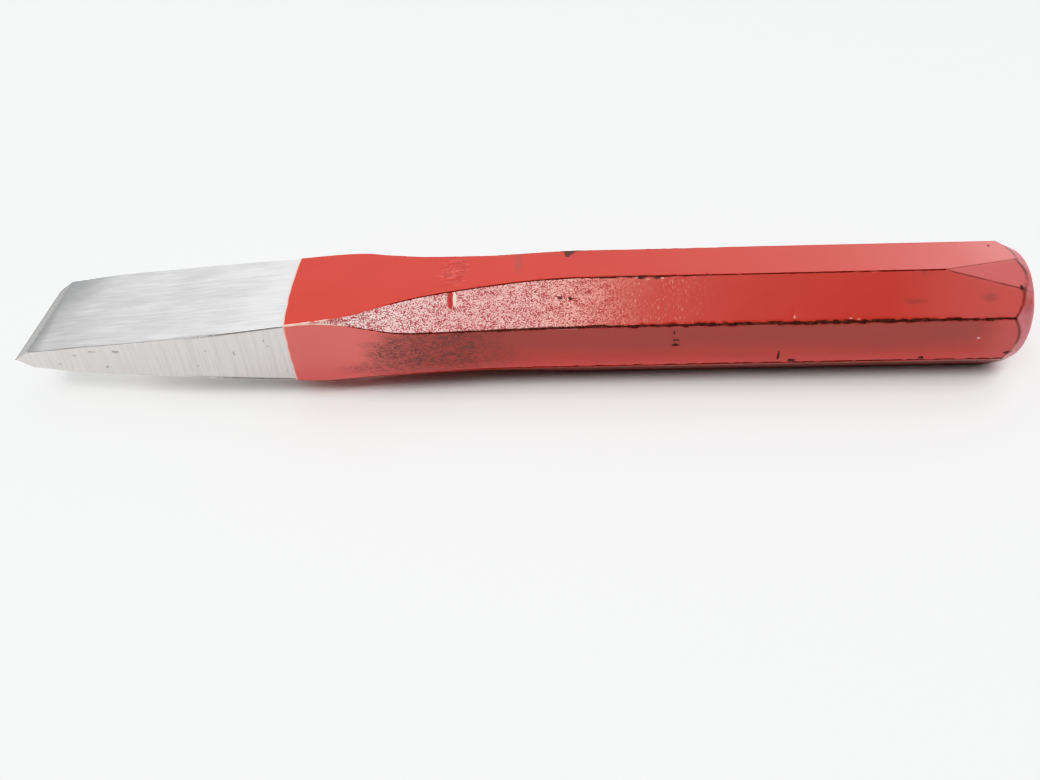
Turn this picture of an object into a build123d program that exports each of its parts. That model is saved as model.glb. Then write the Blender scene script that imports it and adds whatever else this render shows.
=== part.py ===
"""A forged flat chisel: one octagonal steel bar drawn out to a ground blade, in a coat of lacquer.

The chisel lies on a flat of its shank. +X runs from the cutting edge to the struck head, +Z is up
and is square to the broad faces of the blade, and Y is across the blade. The origin is under the
middle of the chisel's length, on the surface that it lies on. Millimetres.

There are two pieces: the forging, which is blade, shank and head in one, and the lacquer on it.
"""

import os
from math import radians, tan

from build123d import *

# ---- driving dimensions ----
overall_length = 153.0
across_flats = 18.0  # of the octagonal shank, over the lacquer
lacquer = 0.12  # thickness of the coat

edge_half_width = 9.35  # half of the length of the cutting edge
edge_angle = 64.0  # between the two cutting bevels
bevel_length = 2.45
shank_start = 86.0  # where the section becomes a full octagon, from the cutting edge

border_middle = 41.6  # from the cutting edge to the border of the lacquer, on the centre line
border_front = 42.5  # and just clear of the -Y side
border_rear = 41.6  # and just clear of the +Y side
border_reach = 10.0  # from the centre line to those two points

crown_radius = 8.0  # of the domed face, inside the chamfer round the head
crown_rise = 0.9
crown_chamfer = 30.0  # degrees between the chamfer and the axis
crown_blend = 1.5  # radius between the dome and the chamfer

head_flat_length = 14.2  # of the flat ground on one corner of the head
head_flat_on_top = 2.9  # how far it has spread over the top face at the end
head_flat_on_slope = 2.8  # and how far it has spread down the sloping face, measured along Y

# ---- worked out from them ----
outer_half = across_flats / 2
steel_half = outer_half - lacquer
flat_half_width = outer_half * tan(radians(22.5))
edge_half_thickness = bevel_length * tan(radians(edge_angle / 2))
beyond = 2 * across_flats  # clear of the chisel on every side

# The bare forging has four pairs of faces. Each pair is given by its half distance from the axis
# at points along it, and by its turn about the axis. The broad faces are drawn down to the blade,
# and the bar spreads sideways where they start. The four sloping faces of the octagon stand
# further out on the blade, where they run out to nothing.
side_faces = [(0, edge_half_width), (20, 9.9), (43, 9.0), (60, 9.55), (75, 9.1), (shank_start, steel_half)]
broad_faces = [
    (bevel_length, edge_half_thickness),
    (20, 3.25),
    (43, 5.35),
    (57, 6.7),
    (70, 7.85),
    (shank_start, steel_half),
]
sloping_faces = [(0, 9.3), (31, 9.78), (46, 10.35), (62, 9.2), (72, 8.8), (shank_start, steel_half)]
face_pairs = [(side_faces, 0), (broad_faces, 90), (sloping_faces, 45), (sloping_faces, 135)]

edge_plane = Plane((-overall_length / 2, 0, outer_half))  # on the axis, at the cutting edge


def chisel(skin):
    """The shape of the chisel with a skin of this thickness on the bare forging."""
    # The head is turned first, with its domed face and the chamfer round it.
    growth = skin - lacquer  # from the surface of the lacquer
    dome_end = overall_length + growth
    dome_start = dome_end - crown_rise
    dome_half = crown_radius + growth * tan(radians(90 - crown_chamfer) / 2)
    dome_radius = (dome_half**2 + crown_rise**2) / (2 * crown_rise)
    chamfer_start = dome_start - (beyond - dome_half) / tan(radians(crown_chamfer))
    with BuildPart() as shape:
        with BuildSketch(edge_plane) as turned_profile:
            with BuildLine():
                Polyline((dome_end, 0), (-beyond, 0), (-beyond, beyond), (chamfer_start, beyond))
                Line((chamfer_start, beyond), (dome_start, dome_half))
                RadiusArc((dome_start, dome_half), (dome_end, 0), dome_radius)
            make_face()
            fillet(turned_profile.vertices().sort_by(Axis.X)[-2], crown_blend)
        revolve(axis=Axis(edge_plane.origin, (1, 0, 0)))

        for half_distances, turn in face_pairs:
            outline = [(along, half + skin) for along, half in half_distances]
            first, second, last = outline[0], outline[1], outline[-1]
            first_slope = (second[0] - first[0], second[1] - first[1])
            with BuildSketch(edge_plane.rotated((turn, 0, 0))):
                with BuildLine():
                    Line((0, 0), first)
                    Spline(*outline, tangents=(first_slope, (1, 0)))
                    Polyline(last, (dome_end + beyond, last[1]), (dome_end + beyond, 0))
                    mirror(about=Plane.XZ)
                make_face()
            extrude(amount=beyond, both=True, mode=Mode.INTERSECT)

        # The corner of the head between the top face and the sloping face at -Y is ground flat.
        flat_start = Vector(overall_length - head_flat_length, -flat_half_width, outer_half)
        along_top = Vector(head_flat_length, head_flat_on_top, 0)
        along_slope = Vector(head_flat_length, -head_flat_on_slope, -head_flat_on_slope)
        head_flat = Plane(edge_plane.origin + flat_start, along_top, along_slope.cross(along_top))
        split(bisect_by=head_flat.offset(growth), keep=Keep.BOTTOM)
    return shape.part


with BuildPart() as forged_body:
    add(chisel(skin=0))

with BuildPart() as lacquer_coat:
    add(chisel(skin=lacquer))
    with BuildSketch(edge_plane):
        with BuildLine():
            border = ThreePointArc(
                (border_front, -border_reach), (border_middle, 0), (border_rear, border_reach)
            )
            Polyline(
                border @ 1,
                (overall_length + beyond, border_reach),
                (overall_length + beyond, -border_reach),
                border @ 0,
            )
        make_face()
    extrude(amount=across_flats, both=True, mode=Mode.INTERSECT)
    add(forged_body.part, mode=Mode.SUBTRACT)

os.makedirs("parts", exist_ok=True)
forged_body.part.label = "forged_body"
export_step(forged_body.part, "parts/forged_body.step")
lacquer_coat.part.label = "lacquer_coat"
export_step(lacquer_coat.part, "parts/lacquer_coat.step")
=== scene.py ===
"""The looks of a forged flat chisel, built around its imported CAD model.

Two pieces replace the two CAD nodes: the steel forging with its ground blade, and the red lacquer
over its shank and head. Both are swept from one ring of points, which follows the octagon's eight
faces and crowds together at its arrises. The coat's thickness is real: at its border, and where it
is worn off the arrises, it sinks into the steel. Chips elsewhere are in its material. Shapes are
worked out in millimetres from the cutting edge and the chisel's axis, and go into the meshes in
metres in the row frame.
"""

import functools
import itertools
import math

import bmesh
import bpy
import numpy as np
from mathutils import Matrix, Vector


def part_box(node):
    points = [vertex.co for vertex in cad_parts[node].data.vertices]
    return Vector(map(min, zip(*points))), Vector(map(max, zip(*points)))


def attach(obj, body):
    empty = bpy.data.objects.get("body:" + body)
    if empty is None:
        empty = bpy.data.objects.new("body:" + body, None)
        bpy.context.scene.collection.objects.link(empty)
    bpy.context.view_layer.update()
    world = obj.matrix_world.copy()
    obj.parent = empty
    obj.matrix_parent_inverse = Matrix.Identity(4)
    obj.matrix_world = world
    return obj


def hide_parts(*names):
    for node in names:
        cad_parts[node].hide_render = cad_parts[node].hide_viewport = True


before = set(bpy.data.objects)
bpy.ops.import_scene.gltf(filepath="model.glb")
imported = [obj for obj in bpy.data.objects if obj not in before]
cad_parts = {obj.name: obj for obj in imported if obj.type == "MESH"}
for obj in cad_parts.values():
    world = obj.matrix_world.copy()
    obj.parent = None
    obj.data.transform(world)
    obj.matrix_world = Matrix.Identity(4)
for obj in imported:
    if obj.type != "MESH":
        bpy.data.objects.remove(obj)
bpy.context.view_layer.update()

# ---- sizes from the frame, in millimetres ----
MM = 0.001  # in metres
STEEL_LOW, STEEL_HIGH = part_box("forged_body")
COAT_LOW, COAT_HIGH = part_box("lacquer_coat")
LENGTH = (COAT_HIGH.x - STEEL_LOW.x) / MM
FLAT = (COAT_HIGH.z - COAT_LOW.z) / 2 / MM  # from the axis to a flat of the shank
COAT = (COAT_HIGH.x - STEEL_HIGH.x) / MM  # thickness of the lacquer

# ---- shape over the lacquer, as (distance from the cutting edge, size) ----
LEG = FLAT * (1 - math.tan(math.radians(22.5)))  # of a sloping face, along Y and along Z
SHANK_START = 87.0
HALF_WIDTH = [
    (0, 9.35),
    (8, 9.75),
    (16, 9.85),
    (30, 9.66),
    (43, 9.2),
    (50, 9.12),
    (59, 9.84),
    (72, 9.3),
    (SHANK_START, FLAT),
]
BEVEL_LENGTH = 2.45  # to where its slope meets the blade's faces
BEVEL_SLOPE = math.tan(math.radians(32))
HALF_THICKNESS = [
    (BEVEL_LENGTH, 1.56),
    (4.5, 1.76),
    (9, 2.32),
    (22, 3.42),
    (42, 5.3),
    (56, 6.75),
    (70, 7.95),
    (SHANK_START, FLAT),
]
# How far the sloping faces reach across the chisel, along Y, and down it, along Z.
SLOPE_ACROSS = [(45, 0.1), (49, 0.25), (52.5, 0.95), (56, 2.45), (60, 3.8), (70, 4.95), (SHANK_START, LEG)]
SLOPE_DOWN = [(42, 0.12), (46, 0.3), (50, 0.95), (54, 1.95), (58, 2.9), (68, 4.1), (SHANK_START, LEG)]
LEAST_SLOPE = 0.05  # of the same on the blade, where those faces have run out
ARRIS_RADIUS = [(0, 0.03), (40, 0.08), (50, 0.25), (64, 0.4), (SHANK_START, 0.4)]
BARE_SINK = 0.25  # how far the bare blade lies inside the lacquer's surface, as a share of COAT
BARE_SINK_END = 34.0  # where that starts to grow, to all of COAT at the border

TIP_CORNER_RADIUS = 0.7  # of the cutting edge's far corner, worn round

# The lacquer's border leans and bows across the broad faces, bows down the sides, and wavers.
BORDER = 41.3  # on the centre line
BORDER_SKEW = -0.045
BORDER_BOW = 0.0045
BORDER_SIDE_BOW = 0.006
BORDER_SIDE_MIDDLE = 1.0  # height of the middle of that bow
BORDER_WAVER = 0.16

# Half of the turned crown's outline, as (radius, distance from the edge): a dome, the rim that
# blows have spread, and the chamfer below it, which runs out beyond the octagon's corners.
CROWN = [
    (0, LENGTH),
    (4, 152.82),
    (6.6, 152.5),
    (7.7, 152.15),
    (8.3, 151.6),
    (8.65, 150.9),
    (9.05, 150.0),
    (12, 146.5),
]
CROWN_START = 148.0
CROWN_END = 150.3  # where the crown has taken in the whole octagon
CROWN_BLEND = 0.15  # of the crown into the octagon
HEAD_FLAT_BLEND = 0.1

# The flat ground on the head's near top corner, and how far it has spread at the end.
HEAD_FLAT_LENGTH = 14.2
HEAD_FLAT_ON_TOP = 2.9
HEAD_FLAT_ON_SLOPE = 2.8
HEAD_FLAT_START = (LENGTH - HEAD_FLAT_LENGTH, -(FLAT - LEG), FLAT)

# ---- mesh fineness ----
FACE_STEPS = 18
FACE_CROWDING = 2.0  # of those steps towards the arrises
CORNER_STEPS = 3
BEVEL_RINGS = [0, 0.03, 0.3, 0.8, 1.4, 2.0]
BEVEL_CREASE = 0.015  # half the width over which the bevel turns into the blade's faces
BLADE_START = 2.7  # of the evenly spaced rings behind the bevel
BLADE_STEP = 0.3
COVERED_STEP = 0.5
COVERED_CROWN_STEP = 0.15
FEATHER_RINGS = [0, 0.05, 0.1, 0.16, 0.24, 0.34, 0.46]  # of the coat, from its border
COAT_START = 0.65  # of the coat's evenly spaced rings, from its border
COAT_STEP = 0.25
COAT_CROWN_STEP = 0.12
INNER_START = 3.0  # of the rings on the coat's hidden side, from its border
INNER_STEP = 6.0
EVEN_RINGS = 64.0  # from here on the coat's rings no longer follow its border
CROWN_RADII = np.concatenate([np.linspace(8.85, 7.0, 20), np.linspace(6.8, 0, 24)])
WELD = 0.002
NOISE_CELLS = 32


# ---------------------------------------------------------------- curves and noise
def curve(points, along):
    """A smooth line through (distance, value) points, level before the first and after the last."""
    xs, ys = np.array(points, float).T
    slopes = np.gradient(ys, xs)
    slopes[-1] = 0
    place = np.clip(along, xs[0], xs[-1])
    i = np.clip(np.searchsorted(xs, place, side="right") - 1, 0, len(xs) - 2)
    span = xs[i + 1] - xs[i]
    u = (place - xs[i]) / span
    rise = u * u * (3 - 2 * u)
    bend_in = u * (1 - u) ** 2 * span * slopes[i]
    bend_out = u * u * (u - 1) * span * slopes[i + 1]
    return ys[i] + (ys[i + 1] - ys[i]) * rise + bend_in + bend_out


def smoothstep(low, high, value):
    """A smooth rise from 0 to 1 while value goes from low to high."""
    t = np.clip((value - low) / (high - low), 0, 1)
    return t * t * (3 - 2 * t)


def soft_min(a, b, blend):
    """The smaller of two arrays, rounded over where they are within blend of each other."""
    h = np.clip(0.5 + 0.5 * (b - a) / blend, 0, 1)
    return b + (a - b) * h - blend * h * (1 - h) / 2


def noise(points, cell, seed):
    """Smooth random values from 0 to 1 at points, which change over about one cell's length."""
    table = np.random.default_rng(seed).random((NOISE_CELLS,) * 3)
    grid = points / np.array(cell)
    low = np.floor(grid).astype(int)
    part = grid - low
    part = part * part * (3 - 2 * part)
    total = np.zeros(points.shape[:-1])
    for corner in itertools.product((0, 1), repeat=3):
        weight = np.prod(np.where(corner, part, 1 - part), axis=-1)
        i, j, k = np.moveaxis((low + corner) % NOISE_CELLS, -1, 0)
        total += weight * table[i, j, k]
    return total


# ---------------------------------------------------------------- the swept ring
def ring_steps():
    """For each point of the ring: its face, whether it is on that face's far corner, and how far."""
    steps = []
    for face in range(8):
        for i in range(FACE_STEPS + 1):
            half = abs(2 * i / FACE_STEPS - 1)
            from_corner = (math.exp(FACE_CROWDING * (1 - half)) - 1) / (math.exp(FACE_CROWDING) - 1) / 2
            share = from_corner if i <= FACE_STEPS / 2 else 1 - from_corner
            steps.append((face, False, share))
        for i in range(1, CORNER_STEPS):
            steps.append((face, True, i / CORNER_STEPS))
    return steps


RING = ring_steps()
RING_FACE = np.array([face for face, _, _ in RING])
RING_AT_CORNER = np.array([at_corner for _, at_corner, _ in RING])
RING_SHARE = np.array([share for _, _, share in RING])
ON_SIDE = np.isin(RING_FACE, (2, 6)) & ~RING_AT_CORNER
ON_SLOPE = np.isin(RING_FACE, (1, 3, 5, 7)) & ~RING_AT_CORNER


def section_corners(along, skin):
    """The eight corners of the section, from the far end of the top face round over the near side.

    along has one value for each ring point. skin is how far inside the lacquer's surface this is.
    """
    skin = skin * (BARE_SINK + (1 - BARE_SINK) * smoothstep(BARE_SINK_END, BORDER, along))
    width = curve(HALF_WIDTH, along) - skin
    thickness = curve(HALF_THICKNESS, along) - skin
    thickness = np.minimum(thickness, along * BEVEL_SLOPE)
    shrink = skin * (2 - math.sqrt(2))
    across = np.minimum(np.maximum(curve(SLOPE_ACROSS, along) - shrink, LEAST_SLOPE), width * 0.9)
    down = np.minimum(np.maximum(curve(SLOPE_DOWN, along) - shrink, LEAST_SLOPE), thickness * 0.9)
    quarter = [(width - across, thickness), (width, thickness - down)]
    (ty, tz), (sy, sz) = quarter
    corners = [(ty, tz), (-ty, tz), (-sy, sz), (-sy, -sz), (-ty, -tz), (ty, -tz), (sy, -sz), (sy, sz)]
    return np.array([np.stack(corner, -1) for corner in corners])


def ring_points(along, skin):
    """Y and Z of the ring at these stations, the outward normals, and the distance to an arris.

    along is an array of stations by ring points.
    """
    corners = section_corners(along, skin)
    after = np.roll(corners, -1, axis=0)
    lengths = np.linalg.norm(after - corners, axis=-1)
    directions = (after - corners) / np.maximum(lengths, 1e-9)[..., None]
    turn_cos = np.sum(directions * np.roll(directions, 1, axis=0), axis=-1)
    half_turn = np.arccos(np.clip(turn_cos, -1, 1)) / 2
    radius = curve(ARRIS_RADIUS, along)
    room = 0.45 * np.minimum(lengths, np.roll(lengths, 1, axis=0))  # so that arrises never meet
    setback = np.minimum(radius * np.tan(half_turn), room)

    rows = np.arange(along.shape[0])[:, None]
    columns = np.arange(along.shape[1])[None, :]
    face, following = RING_FACE[None, :], (RING_FACE[None, :] + 1) % 8

    def pick(values, index):
        return values[index, rows, columns]

    start, end = pick(corners, face), pick(corners, following)
    direction, next_direction = pick(directions, face), pick(directions, following)
    start_back, end_back = pick(setback, face)[..., None], pick(setback, following)[..., None]
    share = RING_SHARE[None, :, None]

    face_start = start + direction * start_back
    face_end = end - direction * end_back
    on_face = face_start + (face_end - face_start) * share
    arc_end = end + next_direction * end_back
    on_corner = (1 - share) ** 2 * face_end + 2 * share * (1 - share) * end + share**2 * arc_end
    at_corner = RING_AT_CORNER[None, :, None]
    place = np.where(at_corner, on_corner, on_face)

    facing = np.where(at_corner, direction * (1 - share) + next_direction * share, direction)
    facing /= np.linalg.norm(facing, axis=-1, keepdims=True)
    normal = np.stack([facing[..., 1], -facing[..., 0]], -1)
    to_arris = np.linalg.norm(corners - place[None], axis=-1)
    return place, normal, to_arris


# ---------------------------------------------------------------- the head
def head_flat_distance(points):
    """How far points stand out of the flat ground on the head's near top corner, and its normal."""
    along_top = np.array((HEAD_FLAT_LENGTH, HEAD_FLAT_ON_TOP, 0))
    along_slope = np.array((HEAD_FLAT_LENGTH, -HEAD_FLAT_ON_SLOPE, -HEAD_FLAT_ON_SLOPE))
    normal = np.cross(along_slope, along_top)
    normal /= np.linalg.norm(normal)
    return (points - np.array(HEAD_FLAT_START)) @ normal, normal


def crown_along(radius, skin):
    """How far along the chisel the turned crown has this radius."""
    return curve(CROWN, radius) - skin * (1 + 0.5 * smoothstep(6, 9, radius))


def crown_radius(along, skin):
    """The radius of the turned crown at these distances from the edge, before its dome."""
    radii = np.linspace(13, 6, 281)
    return np.interp(along, crown_along(radii, skin), radii)


def swept_surface(along, crown_radii, skin):
    """Rings at the stations in along and then over the crown at these radii, with their facts.

    along is an array of stations by ring points. The result is the points, their outward normals,
    the distance to each arris, and the signed distances to the crown's edge and to the head flat.
    """
    over_crown = np.repeat(crown_along(crown_radii, skin)[:, None], along.shape[1], axis=1)
    stations = np.vstack([along, over_crown])
    place, normal, to_arris = ring_points(np.minimum(stations, CROWN_END), skin)
    points = np.concatenate([stations[..., None], place], -1)

    from_flat, flat_normal = head_flat_distance(points)
    from_flat = from_flat + skin
    cut = from_flat - soft_min(from_flat, np.zeros_like(from_flat), HEAD_FLAT_BLEND)
    points[..., 1:] -= cut[..., None] * flat_normal[1:] / (flat_normal[1:] @ flat_normal[1:])

    from_axis = np.linalg.norm(points[..., 1:], axis=-1)
    turned = np.vstack([crown_radius(along, skin), np.repeat(crown_radii[:, None], along.shape[1], 1)])
    from_crown = from_axis - turned
    kept = soft_min(from_axis, turned, CROWN_BLEND)
    points[..., 1:] *= (kept / np.maximum(from_axis, 1e-9))[..., None]

    axial = smoothstep(-0.3, 0.5, from_crown) * (0.5 + 0.5 * smoothstep(8.8, 7.2, kept))
    outward = np.concatenate([axial[..., None], normal * (1 - axial[..., None])], -1)
    outward /= np.linalg.norm(outward, axis=-1, keepdims=True)
    return points, outward, to_arris, from_crown, from_flat


def sweep_mesh(name, rings, attributes, gap=None):
    """A mesh through rings of points, with point attributes of the same shape.

    With a gap, the last ring joins the first, and no faces join ring number gap to the next one.
    """
    count, around = rings.shape[:2]
    first = [i for i in range(count if gap is not None else count - 1) if i != gap]
    low = np.array(first)[:, None] * around
    high = (np.array(first)[:, None] + 1) % count * around
    column = np.arange(around)[None, :]
    beside = (column + 1) % around
    quads = np.stack([low + column, low + beside, high + beside, high + column], -1)
    in_row_frame = rings - np.array((LENGTH / 2, 0, -FLAT))
    mesh = bpy.data.meshes.new(name)
    mesh.from_pydata((in_row_frame * MM).reshape(-1, 3), [], quads.reshape(-1, 4).tolist())
    for key, values in attributes.items():
        mesh.attributes.new(key, "FLOAT", "POINT").data.foreach_set("value", values.ravel())
    return mesh


def finish_mesh(mesh):
    """Closes the mesh where its rings shrink to a point or a line, and shades it."""
    shell = bmesh.new()
    shell.from_mesh(mesh)
    bmesh.ops.remove_doubles(shell, verts=shell.verts, dist=WELD * MM)
    bmesh.ops.dissolve_degenerate(shell, edges=shell.edges, dist=WELD * MM / 10)
    bmesh.ops.recalc_face_normals(shell, faces=shell.faces)
    shell.to_mesh(mesh)
    shell.free()
    mesh.shade_smooth()
    mesh.set_sharp_from_angle(angle=math.radians(50))


# ---------------------------------------------------------------- wear in the surface
# Half the width over which the lacquer is worn off an arris, as (distance from the edge, size).
TOP_ARRIS_WEAR = [(54, 0), (62, 0.07), (70, 0.1), (82, 0.1), (94, 0.15), (101, 0.12), (149, 0.08)]
SIDE_ARRIS_WEAR = [
    (50, 0),
    (57, 0.07),
    (68, 0.12),
    (80, 0.16),
    (92, 0.2),
    (110, 0.24),
    (128, 0.24),
    (149, 0.2),
]
HIDDEN_ARRIS_WEAR = [(50, 0), (62, 0.06), (90, 0.12), (120, 0.16), (149, 0.16)]
ARRIS_WEAR = [  # in the order of section_corners
    TOP_ARRIS_WEAR,
    TOP_ARRIS_WEAR,
    SIDE_ARRIS_WEAR,
    HIDDEN_ARRIS_WEAR,
    HIDDEN_ARRIS_WEAR,
    HIDDEN_ARRIS_WEAR,
    HIDDEN_ARRIS_WEAR,
    SIDE_ARRIS_WEAR,
]

# Chips down to the steel, as (distance from the edge, Y, Z from the axis) and (length, height).
CHIPS = [
    ((84.7, 3.2, 9.0), (0.8, 0.7)),
    ((84.2, 3.75, 8.95), (1.4, 0.3)),
    ((84.5, 2.4, 9.0), (0.4, 0.5)),
    ((85.8, 3.7, 9.0), (0.6, 0.35)),
    ((83.2, -5.85, 6.9), (0.42, 0.26)),
    ((84.7, -5.95, 6.8), (0.34, 0.24)),
    ((95.1, -3.85, 8.9), (0.75, 0.34)),
    ((97.5, -3.9, 8.85), (0.5, 0.3)),
    ((100.2, -9.0, 0.15), (0.6, 0.25)),
    ((100.25, -9.0, 1.0), (0.56, 0.22)),
    ((99.9, -9.0, 2.4), (0.12, 0.4)),
    ((115.6, -9.0, -2.2), (0.2, 0.85)),
    ((117.6, -9.0, -3.2), (0.65, 0.3)),
    ((136.8, -9.0, -3.1), (0.45, 0.25)),
    ((147.2, 2.3, 9.0), (0.25, 0.25)),
    ((149.2, -8.7, -2.5), (0.75, 0.4)),
    ((149.8, -5.9, 7.0), (0.35, 0.5)),
    ((112.8, 7.2, 5.5), (0.6, 0.4)),
    ((91.0, 9.0, -1.2), (0.5, 0.35)),
    ((126.0, 6.1, -6.6), (0.8, 0.4)),
    ((105.5, -1.4, -9.0), (0.6, 0.9)),
]

# Shallow dents, as (distance from the edge, Y, Z from the axis), radius and depth.
DENTS = [
    ((66.3, 2.0, 7.6), 1.3, 0.08),
    ((67.9, -2.2, 7.75), 1.2, 0.1),
    ((117.1, -8.2, 4.6), 0.5, 0.06),
    ((125.1, -8.6, 4.1), 0.6, 0.06),
    ((LENGTH, 2.5, 1.5), 2.2, 0.12),
    ((LENGTH, -3.0, -1.0), 2.6, 0.15),
    ((LENGTH, 0.5, -4.5), 1.8, 0.1),
    ((LENGTH, -1.0, 4.5), 2.0, 0.1),
]

# A nick across the sloping face: its middle, its half width and half length, and its depth.
NICK = (67.3, -5.85, 6.9)
NICK_WIDTH = 0.45
NICK_LENGTH = 1.5
NICK_DEPTH = 0.14

# Slow waves in the forged faces: depth, length along X, Y and Z, and seed.
WAVES = [(0.05, (11, 5, 5), 1), (0.02, (2.5, 2, 2), 2)]
WORN_SINK = 0.05  # how far the coat goes down into the steel where it is worn off
INNER_SINK = 0.15  # and how far its hidden side lies in it


def unevenness(points):
    """How far the forged faces dip below flat, in slow waves, dents and a nick."""
    depth = sum(height * noise(points, length, seed) for height, length, seed in WAVES)
    for centre, radius, dent in DENTS:
        away = np.linalg.norm(points - np.array(centre), axis=-1) / radius
        depth += dent * smoothstep(1, 0.2, away)
    offset = points - np.array(NICK)
    across = np.abs(offset[..., 0] + 0.12 * offset[..., 2]) / NICK_WIDTH
    along = np.linalg.norm(offset[..., 1:], axis=-1) / NICK_LENGTH
    return depth + NICK_DEPTH * np.clip(1 - across, 0, 1) * smoothstep(1, 0.6, along)


def worn_away(points, to_arris, from_crown, from_flat):
    """How completely the lacquer is gone from the arrises at these points, from 0 to 1."""
    ragged = noise(points, (0.8, 0.3, 0.3), 3) - 0.5
    patchy = noise(points, (4.5, 2, 2), 4)
    half_widths = np.stack([curve(wear, points[..., 0]) for wear in ARRIS_WEAR])
    reach = half_widths * (1.0 + 0.5 * patchy + 1.2 * ragged)
    beyond = (reach - to_arris) / 0.08
    worn = smoothstep(-0.5, 0.5, beyond.max(axis=0))
    return worn * smoothstep(0.3, 0, from_crown) * smoothstep(0.03, -0.03, from_flat)


# ---------------------------------------------------------------- the two pieces
def stations(*stretches):
    """Distances from the cutting edge, from stretches of (start, end, step)."""
    return np.concatenate([np.arange(start, end, step) for start, end, step in stretches])


def all_round(along):
    """These stations for every point of the ring, as an array of stations by ring points."""
    return np.repeat(np.array(along)[:, None], len(RING), axis=1)


def point_marks(ring_marks, shape):
    """Marks for points on rings, the same on every ring: 1 where ring_marks is true, or else 0."""
    return np.broadcast_to(ring_marks, shape).astype(float)


def from_border(points):
    """How far points are beyond the lacquer's border, along the chisel."""
    return points[..., 0] - BORDER - border_shift(points)


def border_shift(points):
    """How much further from the cutting edge the lacquer's border is here than on the centre line."""
    y, z = points[..., 1], points[..., 2]
    top = curve(HALF_THICKNESS, BORDER)
    across = BORDER_SKEW * y + BORDER_BOW * y**2
    down = BORDER_SIDE_BOW * ((z - BORDER_SIDE_MIDDLE) ** 2 - (top - BORDER_SIDE_MIDDLE) ** 2)
    wavering = noise(np.stack([y * 0, y, z], -1), (1, 1.1, 1.1), 5) - 0.5
    return across + down + BORDER_WAVER * wavering


def follow_border(along):
    """These stations all round the chisel, shaped like the border where they are near it."""
    at_border = all_round([BORDER])
    place, _, _ = ring_points(at_border, 0)
    shift = border_shift(np.concatenate([at_border[..., None], place], -1))
    return all_round(along) + shift * smoothstep(EVEN_RINGS, BORDER, along)[:, None]


def narrowed_at_tip(points):
    """The share of its width that the blade keeps where the cutting edge's far corner is worn round."""
    round_left = TIP_CORNER_RADIUS - np.clip(points[..., 0], 0, TIP_CORNER_RADIUS)
    rounding = TIP_CORNER_RADIUS - np.sqrt(TIP_CORNER_RADIUS**2 - round_left**2)
    half = curve(HALF_WIDTH, points[..., 0])
    return np.where(points[..., 1] > 0, 1 - rounding / half, 1)


def make_forging():
    """The steel forging: bevels, ground blade, and the shank and head that the coat covers."""
    bare = (BLADE_START, BORDER, BLADE_STEP)
    shank = (BORDER, CROWN_START, COVERED_STEP)
    crown = (CROWN_START, CROWN_END, COVERED_CROWN_STEP)
    crease = BEVEL_LENGTH + BEVEL_CREASE * np.array([-1, 0, 1])
    along = np.concatenate([BEVEL_RINGS, crease, stations(bare, shank, crown)])
    points, outward, to_arris, _, _ = swept_surface(all_round(along), CROWN_RADII, COAT)
    points[..., 1] *= narrowed_at_tip(points)
    covered = from_border(points)
    points -= outward * (unevenness(points) * smoothstep(-3, 2, covered))[..., None]
    attributes = {
        "side_face": point_marks(ON_SIDE, covered.shape),
        "to_arris": to_arris.min(axis=0),
        "covered": covered,
    }
    mesh = sweep_mesh("chisel_forging", points, attributes)
    finish_mesh(mesh)
    return mesh


def make_coat():
    """The lacquer: its outer surface, feathered at the border, and an inner surface under the steel's."""
    feather = BORDER + np.array(FEATHER_RINGS)
    shank = (BORDER + COAT_START, CROWN_START, COAT_STEP)
    crown = (CROWN_START, CROWN_END, COAT_CROWN_STEP)
    outer = np.concatenate([feather, stations(shank, crown)])
    inner = np.append(stations((CROWN_END, BORDER + INNER_START, -INNER_STEP)), BORDER)

    points, outward, to_arris, from_crown, from_flat = swept_surface(follow_border(outer), CROWN_RADII, 0)
    worn = worn_away(points, to_arris, from_crown, from_flat)
    beyond_border = np.vstack([all_round(outer - BORDER), all_round(CROWN_RADII * 0 + LENGTH - BORDER)])
    feathered = smoothstep(0.5, -0.05, beyond_border)
    depth = unevenness(points) + (COAT + WORN_SINK) * np.maximum(worn, feathered**1.5)
    points -= outward * depth[..., None]

    beneath, _, _, _, _ = swept_surface(follow_border(inner[::-1]), CROWN_RADII[::3], COAT + INNER_SINK)
    outside = {
        "worn": worn,
        "sloping": point_marks(ON_SLOPE, worn.shape),
        "side_face": point_marks(ON_SIDE, worn.shape),
        "to_arris": to_arris.min(axis=0),
        "from_border": beyond_border,
        "from_crown": from_crown,
        "from_flat": from_flat,
    }
    inside = np.zeros(beneath.shape[:2])
    attributes = {name: np.vstack([values, inside]) for name, values in outside.items()}
    rings = np.vstack([points, beneath[::-1]])
    mesh = sweep_mesh("chisel_coat", rings, attributes, gap=len(points) - 1)
    finish_mesh(mesh)
    return mesh


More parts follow.
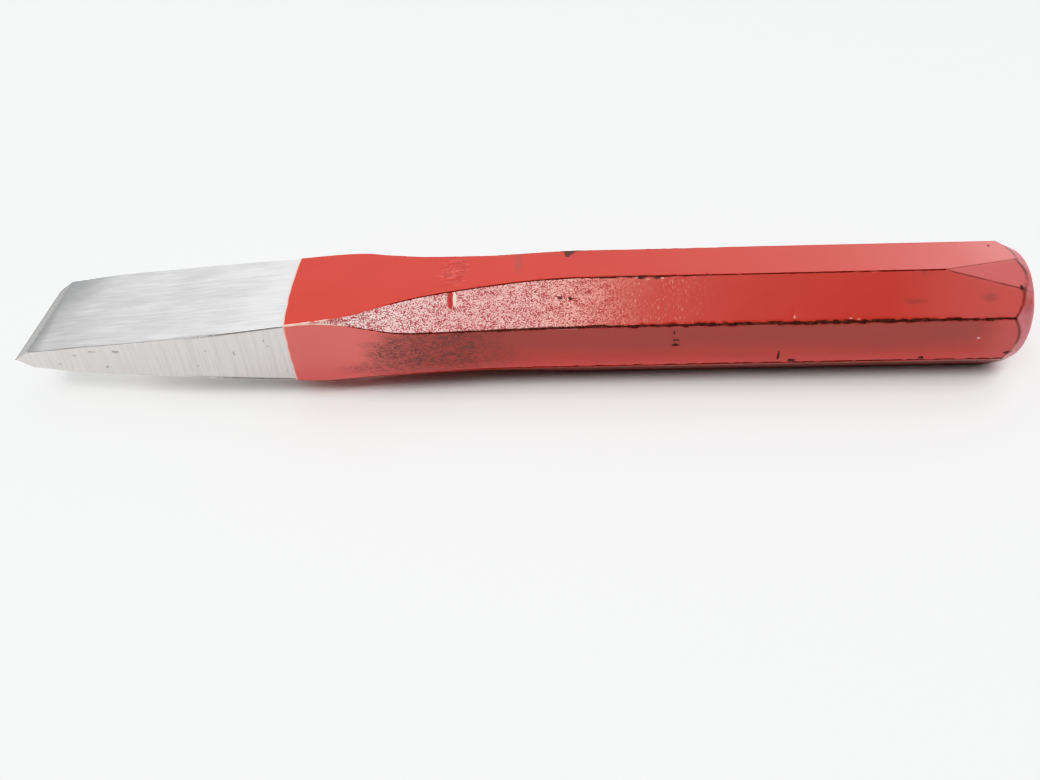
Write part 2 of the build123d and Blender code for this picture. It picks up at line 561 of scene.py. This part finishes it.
# ---------------------------------------------------------------- materials
class Shader:
    """A material's node tree, with short names for the nodes that it uses often.

    place is in millimetres, from the cutting edge and the chisel's axis, and x, y and z are its
    parts. A value is a number, a colour or another node's output.
    """

    MIX_SHARE, MIX_FIRST, MIX_SECOND = 0, 6, 7  # a Mix node's inputs when it mixes colours
    MIX_RESULT = 2  # and its output

    def __init__(self, name):
        """Starts a material of this name, with only its output and its places."""
        self.material = bpy.data.materials.new(name)
        self.material.use_nodes = True
        self.tree = self.material.node_tree
        self.tree.nodes.clear()
        self.output = self.tree.nodes.new("ShaderNodeOutputMaterial")
        coordinates = self.add("ShaderNodeTexCoord").outputs["Object"]
        scaled = self.vector("SCALE", coordinates, scale=1 / MM)
        self.place = self.vector("ADD", scaled, (LENGTH / 2, 0, -FLAT))
        self.x, self.y, self.z = self.add("ShaderNodeSeparateXYZ", {0: self.place}).outputs

    def add(self, kind, inputs=None, **settings):
        """A new node of this kind, with these values or links on its inputs, and these settings."""
        node = self.tree.nodes.new(kind)
        for key, value in settings.items():
            setattr(node, key, value)
        for key, value in (inputs or {}).items():
            self.plug(node.inputs[key], value)
        return node

    def plug(self, socket, value):
        """Links another node's output to the socket, or sets it to a plain value."""
        if isinstance(value, bpy.types.NodeSocket):
            self.tree.links.new(value, socket)
        else:
            socket.default_value = value

    def vector(self, operation, first, second=None, scale=None):
        """The result of one vector operation."""
        node = self.add("ShaderNodeVectorMath", {0: first}, operation=operation)
        if second is not None:
            self.plug(node.inputs[1], second)
        if scale is not None:
            self.plug(node.inputs["Scale"], scale)
        return node.outputs["Value" if operation == "LENGTH" else "Vector"]

    def math(self, operation, first, second=0.0):
        """The result of one operation on numbers."""
        return self.add("ShaderNodeMath", {0: first, 1: second}, operation=operation).outputs[0]

    def in_turn(self, operation, values):
        """One operation on the first two values, then on that result and the third, and so on."""
        return functools.reduce(functools.partial(self.math, operation), values)

    def plus(self, *values):
        return self.in_turn("ADD", values)

    def times(self, *values):
        return self.in_turn("MULTIPLY", values)

    def most(self, *values):
        return self.in_turn("MAXIMUM", values)

    def minus_half(self, value):
        """Turns noise from 0 to 1 into noise round 0."""
        return self.math("SUBTRACT", value, 0.5)

    def all_but(self, share):
        """One less this share."""
        return self.math("SUBTRACT", 1.0, share)

    def step(self, value, low, high, to_low=0.0, to_high=1.0):
        """A smooth step from to_low to to_high while value goes from low to high."""
        sockets = {"Value": value, "From Min": low, "From Max": high, "To Min": to_low, "To Max": to_high}
        return self.add("ShaderNodeMapRange", sockets, interpolation_type="SMOOTHSTEP").outputs["Result"]

    def band(self, value, start, full, fade, end):
        """Up from 0 to 1 between start and full, and down again between fade and end."""
        return self.times(self.step(value, start, full), self.step(value, fade, end, 1.0, 0.0))

    def noise(self, size, detail=2.0, roughness=0.5, distortion=0.0):
        """Noise from 0 to 1 with features of this size, in millimetres along X, Y and Z."""
        scaled = self.vector("DIVIDE", self.place, size)
        sockets = {
            "Vector": scaled,
            "Scale": 1.0,
            "Detail": detail,
            "Roughness": roughness,
            "Distortion": distortion,
        }
        return self.add("ShaderNodeTexNoise", sockets).outputs["Fac"]

    def spots(self, marks, ragged, rim=0.15):
        """A mask of marks, given by centre and half size along X and across it, with a ragged rim.

        rim is half of the share of a mark's size over which the mask fades.
        """
        nearest = None
        for centre, (length, height) in marks:
            offset = self.vector("SUBTRACT", self.place, centre)
            away = self.vector("LENGTH", self.vector("DIVIDE", offset, (length, height, height)))
            nearest = away if nearest is None else self.math("MINIMUM", nearest, away)
        return self.step(self.plus(nearest, ragged), 0.95 + rim, 0.95 - rim)

    def mix(self, share, first, second):
        """The first colour at a share of 0, the second at 1, and a mixture between."""
        inputs = {self.MIX_SHARE: share, self.MIX_FIRST: first, self.MIX_SECOND: second}
        return self.add("ShaderNodeMix", inputs, data_type="RGBA").outputs[self.MIX_RESULT]

    def tint(self, under, over, *shares):
        """One colour over another, by the product of these shares."""
        return self.mix(self.times(*shares), under, over)

    def attribute(self, name):
        """The mesh's point attribute of this name."""
        return self.add("ShaderNodeAttribute", attribute_name=name).outputs["Fac"]

    def relief(self, layers):
        """The normal of bumps on top of each other.

        Each is given as a height, how many millimetres proud a height of 1 stands, and a strength.
        """
        beneath = {}
        for height, distance, strength in layers:
            sockets = {"Height": height, "Distance": distance * MM, "Strength": strength}
            normal = self.add("ShaderNodeBump", sockets | beneath).outputs["Normal"]
            beneath = {"Normal": normal}
        return normal

    def surface(self, inputs):
        """The finished material, from the Principled shader's inputs by their names."""
        principled = self.add("ShaderNodeBsdfPrincipled", inputs)
        self.tree.links.new(principled.outputs["BSDF"], self.output.inputs["Surface"])
        return self.material


def colour(red, green, blue):
    """An opaque colour, from linear values."""
    return (red, green, blue, 1.0)


SCALE_DARK = colour(0.035, 0.01, 0.008)
SCALE_RUSTY = colour(0.13, 0.042, 0.034)


def steel_scale(shader):
    """The dark forging scale and old rust that shows where the lacquer has gone."""
    mottle = shader.noise((0.9, 0.7, 0.7), detail=5.0, roughness=0.65)
    return shader.mix(shader.step(mottle, 0.35, 0.7), SCALE_DARK, SCALE_RUSTY)


# Pits and stains on the ground sides of the blade, as in CHIPS.
BLADE_PITS = [
    ((16.3, -9.85, 1.5), (0.6, 0.3)),
    ((12.6, -9.82, 1.6), (0.7, 0.14)),
    ((9.8, -9.8, 0.9), (0.5, 0.16)),
    ((7.0, -9.7, -0.7), (0.4, 0.14)),
    ((14.2, -9.84, -1.3), (0.3, 0.2)),
    ((38.9, -9.38, 2.6), (0.16, 0.2)),
    ((39.3, -9.36, 1.6), (0.15, 0.25)),
    ((41.3, -9.3, -3.3), (0.2, 0.2)),
    ((34.0, -9.55, 0.6), (0.14, 0.5)),
    ((29.8, -9.66, 1.2), (0.12, 0.3)),
    ((28.0, -9.7, -1.6), (0.3, 0.14)),
    ((24.5, 9.75, 0.8), (0.3, 0.2)),
    ((12.0, 9.82, -0.6), (0.35, 0.16)),
]

# Streaked colours of the ground steel, from the darker to the lighter, on its broad faces and sides.
BROAD_STREAKS = (colour(0.66, 0.645, 0.64), colour(0.86, 0.845, 0.835))
SIDE_STREAKS = (colour(0.49, 0.47, 0.46), colour(0.61, 0.585, 0.575))
STEEL_CLOUD = colour(0.56, 0.54, 0.525)
STEEL_NEAR_TIP = colour(0.32, 0.32, 0.32)
STEEL_BEVEL = colour(0.13, 0.13, 0.127)
# painted shade under the blade side's top arris
STEEL_ARRIS_PAINTED_SHADE = colour(0.12, 0.11, 0.1)
STEEL_PIT = colour(0.16, 0.11, 0.1)
ALONG_X = (1, 0, 0, 1)
ALONG_Y = (0, 1, 0, 1)


def grinding(shader, side):
    """Streaks and scratches, along the blade on its broad faces and up and down on its sides."""
    streaks = shader.mix(
        side,
        shader.noise((6.5, 0.4, 9.0), detail=4.0, roughness=0.72),
        shader.noise((0.35, 6.0, 9.0), detail=4.0, roughness=0.65),
    )
    scratches = shader.mix(
        side,
        shader.noise((4.0, 0.1, 4.0), detail=3.0, roughness=0.6),
        shader.noise((0.1, 4.0, 3.0), detail=3.0, roughness=0.6),
    )
    return streaks, scratches


def pits(shader, side):
    """A mask of the larger pits, and of small specks on the sides."""
    fine = shader.noise((0.3, 0.3, 0.3), detail=3.0)
    ragged = shader.times(shader.minus_half(fine), 2.4)
    specks = shader.step(shader.noise((0.35, 0.35, 0.35), detail=2.0), 0.72, 0.8, 0.0, 0.5)
    return shader.most(shader.spots(BLADE_PITS, ragged), shader.times(specks, side))


def bare_steel(shader, side, streaks, bevel, pitted):
    """The blade's streaked colour, darker near its tip and in pits, with painted shade under the side's
    arris.
    """
    streaked = shader.step(streaks, 0.25, 0.75)
    bright = shader.mix(side, shader.mix(streaked, *BROAD_STREAKS), shader.mix(streaked, *SIDE_STREAKS))
    cloud = shader.noise((7, 4, 4), detail=3.0)
    bright = shader.mix(shader.step(cloud, 0.35, 0.7, 0.0, 0.3), bright, STEEL_CLOUD)

    slanted = shader.plus(shader.x, shader.times(shader.y, -0.35))
    behind_bevel = shader.step(shader.x, BEVEL_LENGTH + 2.8, BEVEL_LENGTH)
    near_tip = shader.most(shader.step(slanted, 9.0, -1.0), behind_bevel)
    bright = shader.tint(bright, STEEL_NEAR_TIP, near_tip, shader.all_but(side), 0.72)
    bright = shader.tint(bright, STEEL_BEVEL, bevel, 0.92)
    # painted shade: a dark line under the near side's top arris
    painted_shade_at_arris = shader.step(shader.attribute("to_arris"), 0.42, 0.15)
    bright = shader.tint(bright, STEEL_ARRIS_PAINTED_SHADE, painted_shade_at_arris, side, shader.band(shader.x, 24, 34, 43, 44), 0.8)
    return shader.tint(bright, STEEL_PIT, pitted, 0.38)


def ground_steel():
    """Bright steel with pits and two duller bevels, and dark scale where the lacquer covers it."""
    shader = Shader("ground_steel")
    side = shader.attribute("side_face")
    covered = shader.step(shader.attribute("covered"), 0.1, 0.6)
    bevel = shader.times(shader.step(shader.x, BEVEL_LENGTH, BEVEL_LENGTH - 0.05), shader.all_but(side))
    streaks, scratches = grinding(shader, side)
    pitted = pits(shader, side)
    bare = bare_steel(shader, side, streaks, bevel, pitted)
    return shader.surface({
        "Base Color": shader.mix(covered, bare, steel_scale(shader)),
        "Roughness": shader.most(
            shader.plus(shader.step(streaks, 0.2, 0.8, 0.34, 0.44), shader.times(side, 0.05)),
            shader.times(covered, 0.65),
            shader.times(pitted, 0.6),
            shader.times(bevel, 0.55),
        ),
        "Metallic": shader.all_but(shader.times(covered, 0.6)),
        "Anisotropic": 0.75,
        "Tangent": shader.mix(side, ALONG_Y, ALONG_X),  # gleams spread across the grinding marks
        "Normal": shader.relief([(streaks, 0.01, 0.6), (scratches, 0.004, 0.5)]),
    })


# Pale specks, some of them painted highlights on dents, as in CHIPS.
PALE_SPECKS_AND_HIGHLIGHTS = [
    ((144.3, -9.0, 0.35), (0.24, 0.2)),
    ((94.5, -3.9, 8.85), (0.25, 0.16)),
    ((96.1, -4.1, 8.7), (0.4, 0.12)),
    ((98.3, -4.0, 8.75), (0.3, 0.14)),
    ((117.2, -8.35, 4.4), (0.14, 0.26)),
    ((125.2, -8.6, 4.15), (0.4, 0.14)),
    ((126.4, -8.7, 4.05), (0.3, 0.1)),
]

# Stains that darken the lacquer, as in CHIPS.
STAINS = [
    ((134.6, -7.0, 5.7), (1.6, 0.45)),
    ((145.4, -6.7, 6.0), (1.3, 0.5)),
    ((112.9, -9.0, 0.9), (1.3, 0.35)),
    ((84.1, -9.0, -0.2), (0.25, 1.6)),
    ((91.7, -9.0, 0.7), (0.8, 0.3)),
    ((77.0, 1.0, 8.45), (0.6, 2.4)),
    ((136.0, -4.2, 8.9), (0.7, 0.5)),
    ((128.0, -9.0, -1.0), (0.5, 0.4)),
    ((150.8, -6.0, -5.6), (1.4, 1.8)),
    ((151.0, -6.9, 3.5), (0.9, 1.6)),
]

# Single marks, as in CHIPS: the red floor of the nick, a painted highlight on its edge, and ripples near it.
NICK_FLOOR = [((67.0, -5.8, 6.95), (0.5, 1.45))]
NICK_EDGE_PAINTED_HIGHLIGHT = [((67.62, -5.75, 7.0), (0.34, 1.3))]
RIPPLED_PATCH = [((67.2, 0.3, 7.7), (2.1, 3.2))]

LACQUER_DEEP = colour(0.385, 0.026, 0.014)
LACQUER_CLEAR = colour(0.44, 0.032, 0.018)
# chalk, and a painted sheen
LACQUER_CHALK_AND_SHEEN = colour(0.46, 0.1, 0.092)
LACQUER_PAINTED_LIGHT_BY_BLADE = colour(0.56, 0.125, 0.112)  # painted light on the sides near the blade
LACQUER_LOW_PAINTED_BOUNCE = colour(0.54, 0.095, 0.094)  # painted bounce light from the floor, low on the sides
LACQUER_STRUCK = colour(0.55, 0.19, 0.21)
# painted shade and painted highlights of the crinkles
CRINKLE_PAINTED_SHADE = colour(0.29, 0.03, 0.04)
FROST_PAINTED_WHITE = colour(0.8, 0.66, 0.64)
FROST_PAINTED_PINK = colour(0.74, 0.48, 0.45)
FROST_PAINTED_WARM = colour(0.76, 0.38, 0.31)
# painted highlight
PAINTED_GLINT = colour(0.76, 0.36, 0.26)
NICK_RED = colour(0.4, 0.03, 0.025)
RIPPLE_PAINTED_HIGHLIGHT = colour(0.62, 0.14, 0.12)
RIPPLE_PAINTED_SHADE = colour(0.2, 0.02, 0.02)
# dirt, and painted shade under the chisel
DIRT_AND_SHADE = colour(0.12, 0.052, 0.047)
CREASE_DIRT = colour(0.07, 0.025, 0.025)
# pale primer, also used for a painted highlight in the nick
PRIMER_AND_HIGHLIGHT_PALE = colour(0.8, 0.6, 0.5)
# pale specks, and painted highlights on dents
PALE_SPECK_AND_HIGHLIGHT = colour(0.62, 0.42, 0.38)


def pale_lines_and_nick_highlight(shader, fine):
    """Masks the pale line at the lacquer's border, on the arris beside it, and a painted nick highlight."""
    border = shader.attribute("from_border")
    border_edge = shader.step(shader.plus(border, shader.times(fine, 0.2)), 0.56, 0.4)
    strength = shader.step(shader.attribute("side_face"), 0, 1, 0.85, 0.5)

    patchy = shader.step(shader.noise((1.4, 1.0, 1.0), detail=3.0), 0.3, 0.6, 0.01, 0.11)
    near_border = shader.band(border, -2, -1, 6, 12)
    reach = shader.times(patchy, near_border, shader.step(shader.z, 3.0, 4.0))
    beyond_reach = shader.math("SUBTRACT", shader.attribute("to_arris"), reach)
    return shader.most(
        shader.times(border_edge, strength),
        shader.step(beyond_reach, 0.05, -0.03),
        # painted highlight on the nick's edge
        shader.spots(NICK_EDGE_PAINTED_HIGHLIGHT, shader.times(fine, 0.3)),
    )


def red_with_chalk_and_painted_light(shader, side, sloping):
    """The lacquer's red: a painted sheen on the sides, chalk and painted sheen towards the head.

    It is pale with chalk on the head's ground flat, and lighter as painted light on the sides near the blade.
    """
    cloud = shader.noise((9, 5, 5), detail=3.0)
    red = shader.mix(cloud, LACQUER_DEEP, LACQUER_CLEAR)
    # on the sides a painted sheen; towards the head part chalk, part painted sheen; chalk on the ground flat
    chalk_and_sheen = shader.most(
        shader.times(side, 0.42),
        shader.step(shader.x, 88, 128, 0, 0.22),
        shader.step(shader.x, 138, 150, 0, 0.75),
        shader.times(sloping, shader.step(shader.x, 88, 104, 0, 0.28)),
        shader.times(sloping, shader.step(shader.x, 118, 150, 0, 0.75)),
        shader.step(shader.attribute("from_flat"), 0.0, 0.1),
    )
    red = shader.mix(chalk_and_sheen, red, LACQUER_CHALK_AND_SHEEN)
    # painted light: the sides are lighter near the blade
    return shader.tint(red, LACQUER_PAINTED_LIGHT_BY_BLADE, side, shader.step(shader.x, 70, 50))


def crinkle(shader, red, sloping):
    """Crinkles on the upper sloping faces, with painted highlights on their grains, white near the blade,
    painted shade between them, and painted glints where they fade out.

    It gives the new red, and the heights of the crinkles and of the glints.
    """
    grains = shader.noise((0.21, 0.15, 0.15), detail=3.0, roughness=0.65, distortion=0.3)
    clusters = shader.minus_half(shader.noise((1.6, 0.9, 0.9)))
    granular = shader.plus(grains, shader.times(clusters, 0.22))
    upper_slope = shader.times(sloping, shader.step(shader.z, -1, 1))
    crinkled = shader.times(upper_slope, shader.band(shader.x, 44, 50, 84, 100))
    # painted shade between the grains
    red = shader.tint(red, CRINKLE_PAINTED_SHADE, crinkled, shader.step(granular, 0.52, 0.4))

    # painted highlight on the grains, fading along the chisel as the reflection does
    fading = shader.times(shader.step(shader.x, 81, 90, 0.95, 0.78), shader.step(shader.x, 88, 100, 1.0, 0.2))
    painted_frost = shader.mix(shader.step(shader.x, 56, 70), FROST_PAINTED_WHITE, FROST_PAINTED_PINK)
    painted_frost = shader.mix(shader.step(shader.x, 74, 92), painted_frost, FROST_PAINTED_WARM)
    red = shader.tint(red, painted_frost, crinkled, fading, shader.step(granular, 0.46, 0.54))

    torn = shader.noise((0.22, 0.5, 0.5), detail=3.0, distortion=0.4)
    past_crinkles = shader.band(shader.x, 82, 88, 94, 108)
    glints = shader.times(upper_slope, past_crinkles, shader.step(torn, 0.6, 0.68))
    # painted highlights on the glints
    red = shader.tint(red, PAINTED_GLINT, glints, 0.5)
    return red, shader.times(granular, crinkled), glints


def ripple(shader, red, smear):
    """The rippled patch on the top face near the nick: the new red, and the ripples' height.

    Its ripples get painted highlights and painted shade.
    """
    rippled = shader.spots(RIPPLED_PATCH, smear, rim=0.5)
    ripples = shader.noise((0.9, 0.5, 0.5), detail=3.0, distortion=1.2)
    # painted highlights and painted shade on the ripples
    red = shader.tint(red, RIPPLE_PAINTED_HIGHLIGHT, rippled, shader.step(ripples, 0.54, 0.64), 0.5)
    red = shader.tint(red, RIPPLE_PAINTED_SHADE, rippled, shader.step(ripples, 0.46, 0.38), 0.5)
    return red, shader.times(rippled, ripples)


def soiled_and_shaded(shader, side, sloping):
    """Masks of soiling and painted shade on the lacquer: all of it, and the scaly flakes that stand proud.

    There is a film below the sides' upper arrises, a patch of scales, and painted shade underneath.
    """
    drift = shader.minus_half(shader.noise((12, 4, 2.2), detail=4.0, roughness=0.6))
    height = shader.plus(shader.z, shader.times(drift, 5.0))
    film = shader.times(side, shader.step(height, -3.4, 1.4), shader.band(shader.x, 52, 70, 142, 149))

    scales = shader.noise((1.3, 0.8, 0.55), detail=4.0, roughness=0.7, distortion=2.2)
    slanted = shader.plus(shader.x, shader.times(shader.z, -0.8), shader.times(drift, 14.0))
    patch = shader.times(side, shader.band(slanted, 51, 57, 66, 86), shader.step(height, -5.4, -3.0))
    flakes = shader.times(patch, shader.step(scales, 0.42, 0.56))

    # painted shade on the lower sloping faces, which face the floor
    low = shader.times(shader.step(shader.z, -3.9, -4.9), shader.step(shader.x, 150.5, 149))
    dirt_and_shade = shader.most(
        shader.times(film, 0.42),
        shader.times(flakes, 0.92),
        shader.times(patch, 0.3),
        shader.times(sloping, low, 0.85),
    )
    return dirt_and_shade, flakes


def creases(shader, patchy):
    """A mask of the dirty line round the crown, and of the one round the head's ground flat."""
    off_crown = shader.math("ABSOLUTE", shader.attribute("from_crown"))
    ring = shader.times(shader.step(off_crown, 0.16, 0.04), shader.step(patchy, 0.3, 0.55))
    off_flat = shader.math("ABSOLUTE", shader.attribute("from_flat"))
    flat_edge = shader.times(
        shader.step(off_flat, 0.055, 0.015),
        shader.step(shader.x, 137, 139),
        shader.step(patchy, 0.2, 0.5, 0.4, 1.0),
    )
    return shader.most(ring, flat_edge)


def red_lacquer():
    """Glossy red lacquer: crinkled, dirty and with painted light and shade in places, worn through to dark
    steel.
    """
    shader = Shader("red_lacquer")
    side = shader.attribute("side_face")
    sloping = shader.attribute("sloping")
    fine = shader.noise((0.28, 0.2, 0.2), detail=4.0, roughness=0.65)
    ragged = shader.times(shader.minus_half(fine), 1.6)
    smear = shader.times(shader.minus_half(shader.noise((2.4, 0.8, 0.8), detail=2.0)), 1.6)
    patchy = shader.noise((2.5, 2.0, 2.0), detail=3.0)

    red = red_with_chalk_and_painted_light(shader, side, sloping)
    red, crinkle_height, glints = crinkle(shader, red, sloping)
    red = shader.mix(shader.spots(NICK_FLOOR, shader.times(ragged, 0.3)), red, NICK_RED)
    red, ripple_height = ripple(shader, red, smear)

    soil_and_shade, flakes = soiled_and_shaded(shader, side, sloping)
    dirt_and_shade = shader.most(soil_and_shade, shader.times(shader.spots(STAINS, smear, rim=0.55), 0.32))
    # dirt, and painted shade on the lower sloping faces
    red = shader.mix(dirt_and_shade, red, DIRT_AND_SHADE)
    # painted bounce light: the sides are lighter low down, towards the floor
    red = shader.tint(red, LACQUER_LOW_PAINTED_BOUNCE, side, shader.step(shader.z, -1.5, -4.5), 0.65)
    red = shader.tint(red, CREASE_DIRT, creases(shader, patchy), 0.75)
    crown = shader.step(shader.attribute("from_crown"), 0.1, 0.3)
    struck = shader.times(crown, shader.step(patchy, 0.35, 0.65, 0.35, 0.8))
    red = shader.mix(struck, red, LACQUER_STRUCK)

    # the pale line at the border and along the arris near it, and a painted highlight in the nick
    red = shader.mix(pale_lines_and_nick_highlight(shader, fine), red, PRIMER_AND_HIGHLIGHT_PALE)
    worn = shader.step(shader.plus(shader.attribute("worn"), ragged), 0.35, 0.65)
    bare = shader.most(worn, shader.spots(CHIPS, ragged))
    base = shader.mix(bare, red, steel_scale(shader))
    # pale specks, and painted highlights on dents
    base = shader.tint(base, PALE_SPECK_AND_HIGHLIGHT, shader.spots(PALE_SPECKS_AND_HIGHLIGHTS, ragged), 0.5)

    relief = [
        (shader.noise((2.2, 1.6, 1.6), detail=1.0), 0.012, 0.5),  # orange peel
        (crinkle_height, 0.09, 1.0),
        (shader.plus(glints, flakes), 0.02, 1.0),
        (ripple_height, 0.1, 1.0),
        (shader.all_but(bare), 0.07, 0.8),
    ]
    return shader.surface({
        "Base Color": base,
        "Roughness": shader.most(
            0.28,
            shader.times(bare, 0.6),
            shader.times(dirt_and_shade, 0.5),
            shader.times(struck, 0.6),
        ),
        "IOR": 1.42,
        "Normal": shader.relief(relief),
    })


def pale_floor():
    """Pale matt paper."""
    shader = Shader("pale_floor")
    paper = shader.noise((18, 18, 18), detail=3.0)
    return shader.surface({
        "Base Color": shader.mix(paper, colour(0.86, 0.86, 0.85), colour(0.88, 0.88, 0.87)),
        "Roughness": 0.65,
        "Normal": shader.relief([(shader.noise((0.8, 0.8, 0.8), detail=3.0), 0.02, 0.3)]),
    })


# ---------------------------------------------------------------- the stage
CAMERA_PLACE = (0.0063, -0.1218, 0.0978)
CAMERA_YAW = math.radians(3.06)
CAMERA_TILT = math.radians(40.63)  # below the horizon
CAMERA_ROLL = math.radians(-3.0)
CAMERA_LENS = 33.25

ROOM_BRIGHT_SIDE = (0.25, 0.5, 0.82)
ROOM_RAMP = (0.2, 1.0, 0.15, 1.8)  # from and to along that direction, and the strengths there
ROOM_COLOUR = colour(0.96, 0.98, 1.0)
WALL_STRENGTH = 0.95  # of the room where it shows beyond the floor
FLOOR = 3.0  # half of its side

# Soft lights: the direction from the chisel, the distance, the two sizes and the power in watts.
PANELS = {
    "key": ((-0.16, -0.5, 0.84), 0.55, (0.27, 0.2), 1.45),
    "far_window": ((0.55, 0.65, 0.55), 0.8, (0.3, 0.3), 0.5),
    "left_window": ((-0.94, -0.04, 0.27), 1.6, (1.1, 0.72), 29.0),
}


def add_camera():
    """The camera, in front of the chisel and looking down on it."""
    data = bpy.data.cameras.new("camera")
    data.lens = CAMERA_LENS
    data.sensor_width = 36
    data.clip_start = 0.005
    camera = bpy.data.objects.new("camera", data)
    bpy.context.scene.collection.objects.link(camera)
    aim = Matrix.Rotation(CAMERA_YAW, 4, "Z") @ Matrix.Rotation(math.pi / 2 - CAMERA_TILT, 4, "X")
    roll = Matrix.Rotation(CAMERA_ROLL, 4, "Z")
    camera.matrix_world = Matrix.Translation(CAMERA_PLACE) @ aim @ roll
    bpy.context.scene.camera = camera


def add_floor():
    """A pale floor that the chisel lies on, as part of the stage."""
    mesh = bpy.data.meshes.new("floor")
    corners = [(-FLOOR, -FLOOR, 0), (FLOOR, -FLOOR, 0), (FLOOR, FLOOR, 0), (-FLOOR, FLOOR, 0)]
    mesh.from_pydata(corners, [], [(0, 1, 2, 3)])
    mesh.materials.append(pale_floor())
    floor = bpy.data.objects.new("floor", mesh)
    bpy.context.scene.collection.objects.link(floor)


def add_panel(name, direction, distance, size, power):
    """A soft rectangular light in this direction from the chisel, facing it."""
    data = bpy.data.lights.new(name, "AREA")
    data.shape = "RECTANGLE"
    data.size, data.size_y = size
    data.energy = power
    panel = bpy.data.objects.new(name, data)
    bpy.context.scene.collection.objects.link(panel)
    away = Vector(direction).normalized()
    facing = away.to_track_quat("Z", "Y").to_matrix().to_4x4()
    panel.matrix_world = Matrix.Translation(away * distance) @ facing
    panel.visible_camera = False


def add_world():
    """A pale room: bright above and towards the far right, dark low down on the camera's side."""
    world = bpy.data.worlds.new("pale_room")
    world.use_nodes = True
    tree = world.node_tree
    direction = tree.nodes.new("ShaderNodeTexCoord").outputs["Generated"]
    lean = tree.nodes.new("ShaderNodeVectorMath")
    lean.operation = "DOT_PRODUCT"
    lean.inputs[1].default_value = Vector(ROOM_BRIGHT_SIDE).normalized()
    tree.links.new(direction, lean.inputs[0])
    ramp = tree.nodes.new("ShaderNodeMapRange")
    for name, value in zip(("From Min", "From Max", "To Min", "To Max"), ROOM_RAMP):
        ramp.inputs[name].default_value = value
    tree.links.new(lean.outputs["Value"], ramp.inputs["Value"])
    seen_directly = tree.nodes.new("ShaderNodeLightPath").outputs["Is Camera Ray"]
    strength = tree.nodes.new("ShaderNodeMix")
    tree.links.new(seen_directly, strength.inputs["Factor"])
    tree.links.new(ramp.outputs["Result"], strength.inputs["A"])
    strength.inputs["B"].default_value = WALL_STRENGTH
    background = tree.nodes["Background"]
    background.inputs["Color"].default_value = ROOM_COLOUR
    tree.links.new(strength.outputs["Result"], background.inputs["Strength"])
    bpy.context.scene.world = world


def add_piece(mesh, material, node):
    """Puts a finished mesh in the scene in place of the CAD node."""
    mesh.materials.append(material)
    piece = bpy.data.objects.new(mesh.name, mesh)
    bpy.context.scene.collection.objects.link(piece)
    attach(piece, "root")
    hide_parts(node)


add_camera()
add_floor()
add_world()
for panel_name, panel_settings in PANELS.items():
    add_panel(panel_name, *panel_settings)
add_piece(make_forging(), ground_steel(), "forged_body")
add_piece(make_coat(), red_lacquer(), "lacquer_coat")
bpy.context.scene.view_settings.view_transform = "Khronos PBR Neutral"
